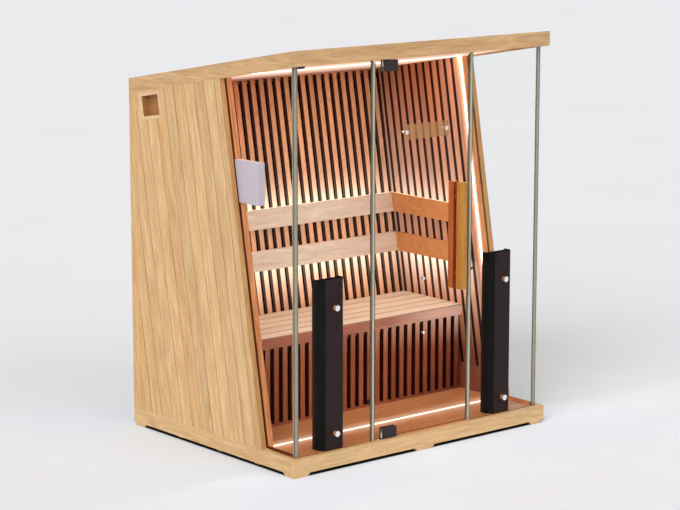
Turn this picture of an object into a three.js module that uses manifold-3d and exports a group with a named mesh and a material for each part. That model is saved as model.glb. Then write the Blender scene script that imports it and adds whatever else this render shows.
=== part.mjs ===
// Infrared sauna cabin: sloped roof, leaning inner walls lined with slats, bench with two
// backrests, light lines, a glass front with two slim heaters and a pivoting glass door.
// Millimetres, +Z up. The front faces -Y and the origin is under the middle of the whole object.

import * as THREE from 'three';
import { mergeVertices } from 'three/addons/utils/BufferGeometryUtils.js';
import Module from 'manifold-3d';

const wasm = await Module();
wasm.setup();

// Overall sizes
const WIDTH = 1650;
const DEPTH = 1320;
const FRONT_HEIGHT = 2022;
const LEAN_DEGREES = 10;
const EDGE_TO_REAR = 1084;
const FIT = 0.3;

// Base
const BASE_HEIGHT = 90;
const SKIRT_THICKNESS = 25;
const NOTCH_HEIGHT = 16;
const CORNER_FOOT = 80;
const MIDDLE_FOOT = 100;
const SIDE_FOOT = 64;
const SIDE_FRONT_FOOT = 46;
const DECK_THICKNESS = 28;
const DECK_BOARD = 105;
const RUNNER_WIDTH = 40;
const RUNNER_PLACES = { front: -339, middle: -33, rear: 295 };

// Roof
const ROOF_THICKNESS = 73;
const CEILING_RECESS = 10;
const FASCIA_THICKNESS = 25;
const CEILING_THICKNESS = 18;
const COVER_THICKNESS = 18;
const COVER_SINK = 2;

// Outer walls, with boards parallel to the leaning front edge
const WALL_SKIN = 29;
const FRONT_STILE = 44;
const REAR_STILE = 62;
const BOARD_PITCH = 86;
const GROOVE_SIZE = 2.4;
const REAR_WALL_THICKNESS = 30;
const REAR_BOARDS = 16;

// Vent in the left wall
const VENT_BEHIND = 603;
const VENT_DROP = 90;
const VENT_OPENING_WIDTH = 138;
const VENT_OPENING_HEIGHT = 103;
const VENT_FRAME_WIDTH = 17;
const SHUTTER_LAP = 5;
const SHUTTER_THICKNESS = 8;
const SHUTTER_TRAVEL = 110;
const SHUTTER_PLAY = 0.6;
const GUIDE_WIDTH = 8;
const GUIDE_ROOT = 0.6;

// Inner leaf of the walls
const POST_DEPTH = 38;
const POST_WIDTH = 50;
const BEAD_THICKNESS = 10;
const BEAD_HEIGHT = 12;
const SLAT_THICKNESS = 20;
const SLAT_PITCH = 57.5;
const SLAT_GAP = 21;
const SLAT_MARGIN = 28;
const SIDE_GAPS = 10;
const BACK_GAPS = 27;
const BACK_GAP = 26;
const BACK_LEFT_END = 62.5;
const BACK_RIGHT_END = 7.5;
const TOP_RAIL = 4;
const SIDE_BOTTOM_RAIL = 140;
const BACK_BOTTOM_RAIL = 60;
const BACK_BEHIND = 690;
const BACK_LIFT = 4;
const HEATER_THICKNESS = 8;
const HEATER_BORDER = 40;

// Bench
const BENCH_TOP = 545;
const BENCH_DEPTH = 461;
const BENCH_REAR_CLEARANCE = 6;
const BENCH_BOARDS = 5;
const BENCH_BOARD_GAP = 4;
const BENCH_BOARD_THICKNESS = 28;
const BENCH_RAIL_HEIGHT = 17;
const BENCH_RAIL_THICKNESS = 22;
const BATTEN_WIDTH = 40;
const BATTEN_HEIGHT = 30;
const BATTEN_PLACES = [-600, 0, 600];
const BATTEN_SETBACK = 34;
const LEDGER_DEPTH = 28;
const LEDGER_HEIGHT = 40;
const KICK_SETBACK = 2;
const KICK_RAIL = 12;

// Backrests, each with a light strip let into its rear edge
const BACKREST_HEIGHT = 100;
const BACKREST_THICKNESS = 22;
const BACKREST_CENTRES = { upper: 1028, lower: 817 };
const BACKREST_FRONT_END = 150;

// Light strips
const STRIP_WIDTH = 12;
const STRIP_DEPTH = 6;
const PORTAL_BEHIND = 12;

// Glass and seals
const GLASS_INSET = 29;
const GLASS_THICKNESS = 8;
const GLASS_POCKET = 12;
const GLASS_POCKET_PLAY = 2;
const GLASS_HEAD_PLAY = 1;
const GLASS_CORNER_GAP = 4;
const DOOR_WIDTH = 624;
const DOOR_SIDE_GAP = 6;
const DOOR_BOTTOM_GAP = 8;
const DOOR_HEAD_GAP = 15;
const SEAL_COVER = 10;
const SEAL_WALL = 2.3;
const SEAL_LIP = 2.3;
const CORNER_SEAL_LEG = 18;
const CORNER_SEAL_WALL = 4;
const SEAL_HEAD_PLAY = 2;

// Door pivots
const PIVOT_INSET = 68;
const PATCH_WIDTH = 85;
const PATCH_HEIGHT = 52;
const PATCH_CHEEK = 11;
const PATCH_SLOT = 24;
const PATCH_OVERHANG = 12;
const PATCH_NOTCH_PLAY = 1.5;
const PIN_RADIUS = 5;
const PIN_LENGTH = 22;
const PIN_PLAY = 0.4;
const PIVOT_PLATE = [60, 14, 4];
const PIVOT_PLAY = 0.5;
const PATCH_HEAD_GAP = 12;

// Door furniture
const HANDLE_BAR = [38, 37, 534];
const HANDLE_CENTRE = [238, 1045];
const HANDLE_GAP = 8;
const HANDLE_BOSS_RADIUS = 11;
const HANDLE_BOSS_INSET = 75;
const PLAQUE = [284, 5, 73];
const PLAQUE_HEIGHT = 1590;
const PLAQUE_STANDOFF = 22;
const PLAQUE_STANDOFF_RADIUS = 7;
const PLAQUE_CAP_RADIUS = 10;
const PLAQUE_CAP = 4;
const PLAQUE_STANDOFF_INSET = 13;

// Front heaters, each hung on a rail with two studs through the glass
const HEATER_FLAT = 104;
const HEATER_CHAMFER = 26;
const HEATER_SIDE = 43;
const HEATER_TOP = 922;
const HEATER_SHEET = 3;
const EMITTER_THICKNESS = 12;
const EMITTER_INSET = 5;
const STUD_HEIGHTS = [172, 786];
const STUD_RADIUS = 5;
const STUD_PLAY = 0.6;
const RAIL_WIDTH = 40;
const RAIL_THICKNESS = 6;
const RAIL_OVERRUN = 30;
const COLLAR_RADIUS = 12.5;
const COLLAR_LENGTH = 16;
const CAP_RADIUS = 14.5;
const CAP_LENGTH = 5;

// Control unit and power unit
const CONTROL_HEIGHTS = [1263, 1466];
const CONTROL_REACH = 149;
const SCREEN_THICKNESS = 3;
const SCREEN_BORDER = 14;
const POWER_WIDTH = 280;
const POWER_DEPTH = 110;
const POWER_HEIGHT = 180;
const POWER_PLACE = 330;
const INLET_RADIUS = 20;
const INLET_HEIGHT = 85;
const INLET_PLAY = 0.5;
const ROUND_SIDES = 16;

// Values that follow from the sizes above
const LEAN = THREE.MathUtils.degToRad(LEAN_DEGREES);
const SLOPE = Math.tan(LEAN);
const HALF_WIDTH = WIDTH / 2;
const HALF_DEPTH = DEPTH / 2;
const EDGE_AT_GROUND = HALF_DEPTH - EDGE_TO_REAR;
const FASCIA_AT_FRONT = FRONT_HEIGHT - ROOF_THICKNESS;
const CEILING_AT_FRONT = FASCIA_AT_FRONT + CEILING_RECESS;
const INNER_HALF = HALF_WIDTH - WALL_SKIN - GLASS_THICKNESS - POST_DEPTH;
const LEAF_HALF = HALF_WIDTH - WALL_SKIN - GLASS_THICKNESS;
const SLAT_BACK = INNER_HALF + SLAT_THICKNESS;
const BACK_PITCH = (2 * INNER_HALF - BACK_LEFT_END - BACK_RIGHT_END) / (BACK_GAPS - 1);
const DECK_BOTTOM = BASE_HEIGHT - DECK_THICKNESS;
const GLASS_OUTER = -HALF_DEPTH + GLASS_INSET;
const GLASS_INNER = GLASS_OUTER + GLASS_THICKNESS;
const GLASS_MIDDLE = GLASS_OUTER + GLASS_THICKNESS / 2;
const SIDE_GLASS_OUTER = HALF_WIDTH - WALL_SKIN;
const DOOR_HALF = DOOR_WIDTH / 2;
const PANE_EDGE = DOOR_HALF + DOOR_SIDE_GAP;
const PIVOT_X = -DOOR_HALF + PIVOT_INSET;
const HEATER_CENTRE = (PANE_EDGE + LEAF_HALF) / 2;
const HANDLE_FRONT = GLASS_OUTER - HANDLE_GAP - HANDLE_BAR[1];
const BENCH_UNDERSIDE = BENCH_TOP - BENCH_BOARD_THICKNESS;
const BENCH_REAR = EDGE_AT_GROUND + SLOPE * BENCH_UNDERSIDE + BACK_BEHIND - BENCH_REAR_CLEARANCE;
const BENCH_FRONT = BENCH_REAR - BENCH_DEPTH;
const KICK_FRONT = BENCH_FRONT + KICK_SETBACK;
const KICK_TOP = BENCH_UNDERSIDE - BENCH_RAIL_HEIGHT;

// Colours, roughness and metalness of the materials
const FINISHES = {
  pale_wood: ['#d9b17c', 0.6, 0],
  cedar: ['#b8714a', 0.6, 0],
  bench_wood: ['#dcb48e', 0.6, 0],
  heater_film: ['#2a1512', 0.8, 0],
  light: ['#fff6e8', 0.5, 0],
  clear_glass: ['#dfe8e4', 0.05, 0],
  seal: ['#8c8668', 0.4, 0],
  black_metal: ['#35292b', 0.45, 0.4],
  copper: ['#c9946a', 0.3, 0.9],
  smoked_acrylic: ['#8a5a36', 0.15, 0],
  grey_plastic: ['#cfcad4', 0.45, 0],
  dark_glass: ['#101214', 0.08, 0],
  honey_wood: ['#bd8437', 0.5, 0],
};
const materials = {};
for (const [name, [color, roughness, metalness]] of Object.entries(FINISHES)) {
  materials[name] = new THREE.MeshStandardMaterial({ color, roughness, metalness });
}

// Shape helpers

// Extrudes an outline along an axis: [y, z] points along x, [x, z] along y, [x, y] along z.
function prism(axis, outline, from, to) {
  const shape = new THREE.Shape(outline.map(([a, b]) => new THREE.Vector2(a, b)));
  const geometry = new THREE.ExtrudeGeometry(shape, { depth: to - from, bevelEnabled: false });
  const turn = new THREE.Matrix4();
  if (axis === 'x') turn.set(0, 0, 1, from, 1, 0, 0, 0, 0, 1, 0, 0, 0, 0, 0, 1);
  if (axis === 'y') turn.set(1, 0, 0, 0, 0, 0, -1, to, 0, 1, 0, 0, 0, 0, 0, 1);
  if (axis === 'z') turn.makeTranslation(0, 0, from);
  return geometry.applyMatrix4(turn);
}

function rectangle(a0, a1, b0, b1) {
  return [[a0, b0], [a1, b0], [a1, b1], [a0, b1]];
}

function box(x0, x1, y0, y1, z0, z1) {
  return prism('z', rectangle(Math.min(x0, x1), Math.max(x0, x1), y0, y1), z0, z1);
}

function circle(centreA, centreB, radius) {
  const points = [];
  for (let side = 0; side < ROUND_SIDES; side += 1) {
    const angle = (2 * Math.PI * (side + 0.5)) / ROUND_SIDES;
    points.push([centreA + radius * Math.cos(angle), centreB + radius * Math.sin(angle)]);
  }
  return points;
}

function solidOf(geometry) {
  const bare = geometry.clone();
  bare.deleteAttribute('normal');
  bare.deleteAttribute('uv');
  const merged = mergeVertices(bare, 1e-4);
  const mesh = new wasm.Mesh({
    numProp: 3,
    vertProperties: new Float32Array(merged.getAttribute('position').array),
    triVerts: new Uint32Array(merged.getIndex().array),
  });
  return new wasm.Manifold(mesh);
}

function geometryOf(solid) {
  const mesh = solid.getMesh();
  const geometry = new THREE.BufferGeometry();
  geometry.setAttribute('position', new THREE.BufferAttribute(mesh.vertProperties, 3));
  geometry.setIndex(new THREE.BufferAttribute(mesh.triVerts, 1));
  geometry.computeVertexNormals();
  return geometry;
}

function join(...geometries) {
  return geometryOf(geometries.map(solidOf).reduce((sum, next) => sum.add(next)));
}

function cut(geometry, ...cutters) {
  return geometryOf(cutters.map(solidOf).reduce((rest, next) => rest.subtract(next), solidOf(geometry)));
}

// A plate with openings cut right through it, along the same axes as a prism.
function pierced(axis, outline, from, to, openings) {
  const tools = openings.map((loop) => prism(axis, loop, from - FIT, to + FIT));
  return cut(prism(axis, outline, from, to), ...tools);
}

// Shears a level slab so that it falls towards the rear with the roof.
function withRoofSlope(geometry) {
  const shear = new THREE.Matrix4().set(1, 0, 0, 0, 0, 1, 0, 0, 0, -SLOPE, 1, -SLOPE * HALF_DEPTH, 0, 0, 0, 1);
  return geometry.applyMatrix4(shear);
}

// The leaning front edge of the side walls, and the ceiling above a place
function edgeY(z) {
  return EDGE_AT_GROUND + SLOPE * z;
}

function ceilingZ(y) {
  return CEILING_AT_FRONT - SLOPE * (y + HALF_DEPTH);
}

// The point where a line that lies behind the leaning edge meets the ceiling, less a drop.
function leanTop(behind, drop) {
  const reach = CEILING_AT_FRONT - drop - SLOPE * (EDGE_AT_GROUND + behind + HALF_DEPTH);
  const z = reach / (1 + SLOPE * SLOPE);
  return [edgeY(z) + behind, z];
}

// A band parallel to the leaning edge, from a level up to the ceiling less a drop, as [y, z].
function leanBand(near, far, bottom, drop) {
  return [[edgeY(bottom) + near, bottom], [edgeY(bottom) + far, bottom], leanTop(far, drop), leanTop(near, drop)];
}

// Turns [along, up] points about the vent's centre with the boards, as [y, z].
function atVent(points) {
  const centre = leanTop(VENT_BEHIND, VENT_DROP);
  return points.map(([u, v]) => [
    centre[0] + u * Math.cos(LEAN) + v * Math.sin(LEAN),
    centre[1] - u * Math.sin(LEAN) + v * Math.cos(LEAN),
  ]);
}

// The vent's opening, wider by a margin on every side
function ventRectangle(margin) {
  const halfWidth = VENT_OPENING_WIDTH / 2 + margin;
  const halfHeight = VENT_OPENING_HEIGHT / 2 + margin;
  return atVent(rectangle(-halfWidth, halfWidth, -halfHeight, halfHeight));
}

// A V groove cutter along a line on an outer face, given by its two ends.
function grooveCutter(start, end) {
  const from = new THREE.Vector3(...start);
  const to = new THREE.Vector3(...end);
  const along = to.clone().sub(from);
  const geometry = new THREE.BoxGeometry(GROOVE_SIZE, GROOVE_SIZE, along.length());
  geometry.rotateZ(Math.PI / 4);
  const turn = new THREE.Quaternion().setFromUnitVectors(new THREE.Vector3(0, 0, 1), along.normalize());
  geometry.applyQuaternion(turn);
  const middle = from.add(to).multiplyScalar(0.5);
  return geometry.translate(middle.x, middle.y, middle.z);
}

// The object and its door, as groups of named pieces
const sauna = new THREE.Group();
sauna.position.y = -(HANDLE_FRONT + HALF_DEPTH) / 2;
const door = new THREE.Group();
sauna.add(door);

function addPiece(name, geometry, material, parent = sauna) {
  const mesh = new THREE.Mesh(geometry, materials[material]);
  mesh.name = name;
  parent.add(mesh);
  return mesh;
}

const SIDES = { left: -1, right: 1 };

// Base: four notched skirts set round a deck that lies on three runners

// The outline of a skirt with feet at the given places along it, as [along, z].
function skirtOutline(from, to, feet) {
  const points = [[to, BASE_HEIGHT], [from, BASE_HEIGHT]];
  if (feet[0][0] > from) points.push([from, NOTCH_HEIGHT], [feet[0][0] - NOTCH_HEIGHT, NOTCH_HEIGHT]);
  feet.forEach(([start, end], index) => {
    points.push([start, 0], [end, 0]);
    const next = feet[index + 1];
    if (next) points.push([end + NOTCH_HEIGHT, NOTCH_HEIGHT], [next[0] - NOTCH_HEIGHT, NOTCH_HEIGHT]);
  });
  const last = feet[feet.length - 1][1];
  if (last < to) points.push([last + NOTCH_HEIGHT, NOTCH_HEIGHT], [to, NOTCH_HEIGHT]);
  return points;
}

function addBase() {
  const inX = HALF_WIDTH - SKIRT_THICKNESS;
  const inY = HALF_DEPTH - SKIRT_THICKNESS;
  const frontFeet = [
    [-HALF_WIDTH, -HALF_WIDTH + CORNER_FOOT],
    [-MIDDLE_FOOT / 2, MIDDLE_FOOT / 2],
    [inX - SIDE_FOOT, inX],
  ];
  const sideFeet = [[-inY, -inY + SIDE_FRONT_FOOT], [inY - SIDE_FOOT, inY]];
  const turned = (feet) => feet.map(([start, end]) => [-end, -start]).reverse();
  const frontOutline = skirtOutline(-HALF_WIDTH, inX, frontFeet);
  const rearOutline = skirtOutline(-inX, HALF_WIDTH, turned(frontFeet));
  const leftOutline = skirtOutline(-inY, HALF_DEPTH, sideFeet);
  const rightOutline = skirtOutline(-HALF_DEPTH, inY, turned(sideFeet));
  addPiece('front_skirt', prism('y', frontOutline, -HALF_DEPTH, -inY), 'pale_wood');
  addPiece('rear_skirt', prism('y', rearOutline, inY, HALF_DEPTH), 'pale_wood');
  addPiece('left_skirt', prism('x', leftOutline, -HALF_WIDTH, -inX), 'pale_wood');
  addPiece('right_skirt', prism('x', rightOutline, inX, HALF_WIDTH), 'pale_wood');
  for (const [place, y] of Object.entries(RUNNER_PLACES)) {
    const runner = box(-inX + FIT, inX - FIT, y - RUNNER_WIDTH / 2, y + RUNNER_WIDTH / 2, 0, DECK_BOTTOM);
    addPiece(`floor_runner_${place}`, runner, 'pale_wood');
  }
  addPiece('floor_deck', prism('x', deckOutline(inY), -inX, inX), 'bench_wood');
}

// The deck's section as [y, z]: board seams and the slot of the floor light strip
function deckOutline(inY) {
  const strip = edgeY(BASE_HEIGHT) + PORTAL_BEHIND;
  const points = [[-inY, DECK_BOTTOM], [inY, DECK_BOTTOM], [inY, BASE_HEIGHT]];
  const seam = GROOVE_SIZE / 2;
  for (let y = inY - DECK_BOARD; y > strip + DECK_BOARD / 2; y -= DECK_BOARD) {
    points.push([y + seam, BASE_HEIGHT], [y, BASE_HEIGHT - seam], [y - seam, BASE_HEIGHT]);
  }
  points.push([strip + STRIP_WIDTH, BASE_HEIGHT], [strip + STRIP_WIDTH, BASE_HEIGHT - STRIP_DEPTH]);
  points.push([strip, BASE_HEIGHT - STRIP_DEPTH], [strip, BASE_HEIGHT], [-inY, BASE_HEIGHT]);
  return points;
}

// Roof: a sloped frame of fascia boards with a top cover and a recessed ceiling panel inside it
function addRoof() {
  const inX = HALF_WIDTH - FASCIA_THICKNESS;
  const inY = HALF_DEPTH - FASCIA_THICKNESS;
  const outer = rectangle(-HALF_WIDTH, HALF_WIDTH, -HALF_DEPTH, HALF_DEPTH);
  const inner = rectangle(-inX, inX, -inY, inY);
  const panel = rectangle(-inX + FIT, inX - FIT, -inY + FIT, inY - FIT);
  const fascia = pierced('z', outer, FASCIA_AT_FRONT, FRONT_HEIGHT, [inner]);
  const coverTop = FRONT_HEIGHT - COVER_SINK;
  const cover = prism('z', panel, coverTop - COVER_THICKNESS, coverTop);
  const strip = leanTop(0, 0)[0] + PORTAL_BEHIND;
  const stripTop = CEILING_AT_FRONT + STRIP_DEPTH;
  const ceilingTop = CEILING_AT_FRONT + CEILING_THICKNESS;
  const ceilingOutline = [
    [inY - FIT, CEILING_AT_FRONT], [inY - FIT, ceilingTop],
    [-inY + FIT, ceilingTop], [-inY + FIT, CEILING_AT_FRONT],
    [strip, CEILING_AT_FRONT], [strip, stripTop],
    [strip + STRIP_WIDTH, stripTop], [strip + STRIP_WIDTH, CEILING_AT_FRONT],
  ];
  const ceiling = prism('x', ceilingOutline, -inX + FIT, inX - FIT);
  const light = box(
    -INNER_HALF, INNER_HALF, strip + FIT, strip + STRIP_WIDTH - FIT, CEILING_AT_FRONT, stripTop - FIT,
  );
  addPiece('roof_fascia', withRoofSlope(fascia), 'pale_wood');
  addPiece('roof_cover', withRoofSlope(cover), 'pale_wood');
  addPiece('ceiling_panel', withRoofSlope(ceiling), 'cedar');
  addPiece('led_ceiling', withRoofSlope(light), 'light');
}

// Outer walls with grooved boards; the left one has the vent
function addOuterWalls() {
  const top = CEILING_RECESS + FIT;
  for (const [side, sign] of Object.entries(SIDES)) {
    const outerFace = sign * HALF_WIDTH;
    const innerFace = sign * LEAF_HALF;
    const [low, high] = [Math.min(outerFace, innerFace), Math.max(outerFace, innerFace)];
    const outline = [
      [edgeY(BASE_HEIGHT), BASE_HEIGHT], [HALF_DEPTH, BASE_HEIGHT],
      [HALF_DEPTH, ceilingZ(HALF_DEPTH) - top], leanTop(0, top),
    ];
    const pocket = prism(
      'x', leanBand(-GLASS_POCKET, GLASS_POCKET, BASE_HEIGHT - GLASS_POCKET, -GLASS_POCKET),
      sign > 0 ? LEAF_HALF - FIT : -SIDE_GLASS_OUTER, sign > 0 ? SIDE_GLASS_OUTER : -LEAF_HALF + FIT,
    );
    const cutters = [pocket, ...wallGrooves(outerFace)];
    if (side === 'left') {
      cutters.push(prism('x', ventRectangle(VENT_FRAME_WIDTH + FIT), low - FIT, high + FIT));
    }
    addPiece(`${side}_outer_wall`, cut(prism('x', outline, low, high), ...cutters), 'pale_wood');
  }
  addVent();
  addRearWall();
}

// Vent: a frame in the left wall with two guides, and a shutter that slides forwards between them
function addVent() {
  const outline = ventRectangle(VENT_FRAME_WIDTH);
  const frame = pierced('x', outline, -HALF_WIDTH, -LEAF_HALF + GUIDE_ROOT, [ventRectangle(0)]);
  const shutterWidth = VENT_OPENING_WIDTH + 2 * SHUTTER_LAP;
  const shutterHeight = VENT_OPENING_HEIGHT + 2 * SHUTTER_LAP;
  const shutterFace = -LEAF_HALF + GUIDE_ROOT + FIT;
  const guideNear = shutterHeight / 2 + SHUTTER_PLAY;
  const guideEnds = [-shutterWidth / 2 - SHUTTER_TRAVEL, shutterWidth / 2];
  const guides = Object.values(SIDES).map((sign) => {
    const [low, high] = [sign * guideNear, sign * (guideNear + GUIDE_WIDTH)].sort((a, b) => a - b);
    const section = atVent(rectangle(...guideEnds, low, high));
    return prism('x', section, -LEAF_HALF + FIT, shutterFace + SHUTTER_THICKNESS);
  });
  addPiece('vent_frame', join(frame, ...guides), 'pale_wood');
  const shutter = prism('x', ventRectangle(SHUTTER_LAP), shutterFace, shutterFace + SHUTTER_THICKNESS);
  addPiece('vent_shutter', shutter, 'pale_wood');
}

// Seams between the boards of a side wall, which end at the upright rear stile
function wallGrooves(faceX) {
  const stileY = HALF_DEPTH - REAR_STILE;
  const below = BASE_HEIGHT - GROOVE_SIZE;
  const above = ceilingZ(stileY) + GROOVE_SIZE;
  const grooves = [grooveCutter([faceX, stileY, below], [faceX, stileY, above])];
  for (let behind = FRONT_STILE; edgeY(BASE_HEIGHT) + behind < stileY; behind += BOARD_PITCH) {
    const [, roofZ] = leanTop(behind, -GROOVE_SIZE);
    const top = Math.min(roofZ, (stileY - EDGE_AT_GROUND - behind) / SLOPE);
    grooves.push(grooveCutter([faceX, edgeY(below) + behind, below], [faceX, edgeY(top) + behind, top]));
  }
  return grooves;
}

function addRearWall() {
  const face = HALF_DEPTH;
  const inside = HALF_DEPTH - REAR_WALL_THICKNESS;
  const top = CEILING_RECESS + FIT;
  const outline = [
    [inside, BASE_HEIGHT], [face, BASE_HEIGHT], [face, ceilingZ(face) - top], [inside, ceilingZ(inside) - top],
  ];
  const cutters = [];
  for (let board = 1; board < REAR_BOARDS; board += 1) {
    const x = -LEAF_HALF + (2 * LEAF_HALF * board) / REAR_BOARDS;
    cutters.push(grooveCutter([x, face, BASE_HEIGHT - GROOVE_SIZE], [x, face, ceilingZ(face) + GROOVE_SIZE]));
  }
  const inletHole = circle(POWER_PLACE, BASE_HEIGHT + INLET_HEIGHT, INLET_RADIUS + INLET_PLAY);
  cutters.push(prism('y', inletHole, inside - FIT, face + FIT));
  addPiece('rear_wall', cut(prism('x', outline, -LEAF_HALF, LEAF_HALF), ...cutters), 'pale_wood');
}

// Inner leaf of the side walls: a front post with its light strip and a bead along the side pane, slats,
// and a heater behind them
function addSideLining() {
  for (const [side, sign] of Object.entries(SIDES)) {
    const span = (near, far) => [Math.min(sign * near, sign * far), Math.max(sign * near, sign * far)];
    const post = prism('x', leanBand(0, POST_WIDTH, BASE_HEIGHT, FIT), ...span(INNER_HALF, LEAF_HALF));
    const slotBand = leanBand(PORTAL_BEHIND, PORTAL_BEHIND + STRIP_WIDTH, BASE_HEIGHT - FIT, -FIT);
    const slot = prism('x', slotBand, ...span(INNER_HALF - FIT, INNER_HALF + STRIP_DEPTH));
    const bead = box(
      ...span(LEAF_HALF - BEAD_THICKNESS, LEAF_HALF), GLASS_INNER + CORNER_SEAL_LEG + FIT,
      edgeY(BASE_HEIGHT + BEAD_HEIGHT) + FIT, BASE_HEIGHT, BASE_HEIGHT + BEAD_HEIGHT,
    );
    addPiece(`${side}_front_post`, join(cut(post, slot), bead), 'cedar');
    const lightBand = leanBand(
      PORTAL_BEHIND + FIT, PORTAL_BEHIND + STRIP_WIDTH - FIT, BASE_HEIGHT + STRIP_DEPTH, STRIP_DEPTH,
    );
    const light = prism('x', lightBand, ...span(INNER_HALF, INNER_HALF + STRIP_DEPTH - FIT));
    addPiece(`led_${side}`, light, 'light');

    const panelBand = leanBand(POST_WIDTH + FIT, BACK_BEHIND - FIT, BASE_HEIGHT, FIT);
    const gaps = [];
    for (let gap = 0; gap < SIDE_GAPS; gap += 1) {
      const start = POST_WIDTH + SLAT_MARGIN + gap * SLAT_PITCH;
      gaps.push(leanBand(start, start + SLAT_GAP, BASE_HEIGHT + SIDE_BOTTOM_RAIL, TOP_RAIL));
    }
    addPiece(`${side}_slat_panel`, pierced('x', panelBand, ...span(INNER_HALF, SLAT_BACK), gaps), 'cedar');

    const heaterBand = leanBand(
      POST_WIDTH + FIT, BACK_BEHIND - FIT, BASE_HEIGHT + HEATER_BORDER, HEATER_BORDER / 2,
    );
    const vent = side === 'left' ? [ventRectangle(0)] : [];
    const heater = pierced('x', heaterBand, ...span(SLAT_BACK + FIT, SLAT_BACK + HEATER_THICKNESS), vent);
    addPiece(`${side}_heater_panel`, heater, 'heater_film');
  }
}

// The gaps of a slatted panel that spans the cabin, between two levels, as [x, z] loops
function acrossGaps(low, high) {
  const gaps = [];
  for (let gap = 0; gap < BACK_GAPS; gap += 1) {
    const centre = -INNER_HALF + BACK_LEFT_END + gap * BACK_PITCH;
    gaps.push(rectangle(centre - BACK_GAP / 2, centre + BACK_GAP / 2, low, high));
  }
  return gaps;
}

// Leaning back: slats and their heater, built upright and turned together
function addBackLining() {
  const back = new THREE.Group();
  back.position.set(0, edgeY(BASE_HEIGHT) + BACK_BEHIND, BASE_HEIGHT);
  back.rotation.x = -LEAN;
  sauna.add(back);
  const [topY, topZ] = leanTop(BACK_BEHIND, FIT);
  const height = Math.hypot(topY - back.position.y, topZ - BASE_HEIGHT);
  const half = LEAF_HALF - GUIDE_ROOT - FIT;
  const gaps = acrossGaps(BACK_BOTTOM_RAIL, height - TOP_RAIL);
  const slats = pierced('y', rectangle(-half, half, BACK_LIFT, height), 0, SLAT_THICKNESS, gaps);
  addPiece('back_slat_panel', slats, 'cedar', back);
  const heaterHalf = half - SLAT_MARGIN;
  const heater = box(
    -heaterHalf, heaterHalf, SLAT_THICKNESS + FIT, SLAT_THICKNESS + HEATER_THICKNESS,
    HEATER_BORDER, height - HEATER_BORDER / 2,
  );
  addPiece('back_heater_panel', heater, 'heater_film', back);
}

// Where the face of the back slats stands at a height
function backFaceY(z) {
  return edgeY(z) + BACK_BEHIND;
}

// Bench: boards on battens with a front rail and a rear ledger, and a slatted kick panel with its heater
function addBench() {
  const half = INNER_HALF - FIT;
  const boardPitch = (BENCH_DEPTH + BENCH_BOARD_GAP) / BENCH_BOARDS;
  const pieces = [];
  for (let board = 0; board < BENCH_BOARDS; board += 1) {
    const start = BENCH_FRONT + board * boardPitch;
    pieces.push(box(-half, half, start, start + boardPitch - BENCH_BOARD_GAP, BENCH_UNDERSIDE, BENCH_TOP));
  }
  const ledgerFront = BENCH_REAR - LEDGER_DEPTH;
  const battenFront = BENCH_FRONT + BATTEN_SETBACK;
  const battenBottom = BENCH_UNDERSIDE - BATTEN_HEIGHT;
  for (const x of BATTEN_PLACES) {
    const [low, high] = [x - BATTEN_WIDTH / 2, x + BATTEN_WIDTH / 2];
    pieces.push(box(low, high, battenFront, ledgerFront + FIT, battenBottom, BENCH_UNDERSIDE + FIT));
  }
  const railRear = BENCH_FRONT + BENCH_RAIL_THICKNESS;
  pieces.push(box(-half, half, BENCH_FRONT, railRear, KICK_TOP, BENCH_UNDERSIDE + FIT));
  const ledgerBottom = BENCH_UNDERSIDE - LEDGER_HEIGHT;
  const ledgerTop = BENCH_UNDERSIDE + FIT;
  const ledger = [
    [ledgerFront, ledgerBottom], [backFaceY(ledgerBottom) - FIT, ledgerBottom],
    [backFaceY(ledgerTop) - FIT, ledgerTop], [ledgerFront, ledgerTop],
  ];
  pieces.push(prism('x', ledger, -half, half));
  addPiece('bench_seat', join(...pieces), 'bench_wood');

  const kickRear = KICK_FRONT + SLAT_THICKNESS;
  const gaps = acrossGaps(BASE_HEIGHT + KICK_RAIL, KICK_TOP - KICK_RAIL);
  const kick = pierced('y', rectangle(-half, half, BASE_HEIGHT, KICK_TOP), KICK_FRONT, kickRear, gaps);
  addPiece('kick_slat_panel', kick, 'cedar');
  const heaterHalf = half - HEATER_BORDER;
  const heaterTop = battenBottom - HEATER_BORDER / 2;
  const heater = box(
    -heaterHalf, heaterHalf, kickRear + FIT, kickRear + HEATER_THICKNESS, BASE_HEIGHT, heaterTop,
  );
  addPiece('calf_heater_panel', heater, 'heater_film');
}

// Backrests: a board along the back that turns onto both side walls, with a light strip in its rear edge
function addBackrests() {
  for (const [level, centre] of Object.entries(BACKREST_CENTRES)) {
    const bottom = centre - BACKREST_HEIGHT / 2;
    const top = centre + BACKREST_HEIGHT / 2;
    const stripLevel = level === 'upper' ? [top - STRIP_DEPTH, top] : [bottom, bottom + STRIP_DEPTH];
    const overrun = level === 'upper' ? [0, FIT] : [-FIT, 0];
    const slotLevel = [stripLevel[0] + overrun[0], stripLevel[1] + overrun[1]];
    const board = backrestLoop(bottom, top, [FIT, BACKREST_THICKNESS], BACKREST_FRONT_END);
    const slot = backrestLoop(...slotLevel, [-FIT, STRIP_WIDTH], BACKREST_FRONT_END + STRIP_WIDTH);
    addPiece(`backrest_${level}`, cut(board, slot), 'bench_wood');
    const play = level === 'upper' ? [FIT, 0] : [0, -FIT];
    const lightLevel = [stripLevel[0] + play[0], stripLevel[1] + play[1]];
    const light = backrestLoop(
      ...lightLevel, [FIT, STRIP_WIDTH - FIT], BACKREST_FRONT_END + STRIP_WIDTH + FIT,
    );
    addPiece(`led_backrest_${level}`, light, 'light');
  }
}

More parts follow.
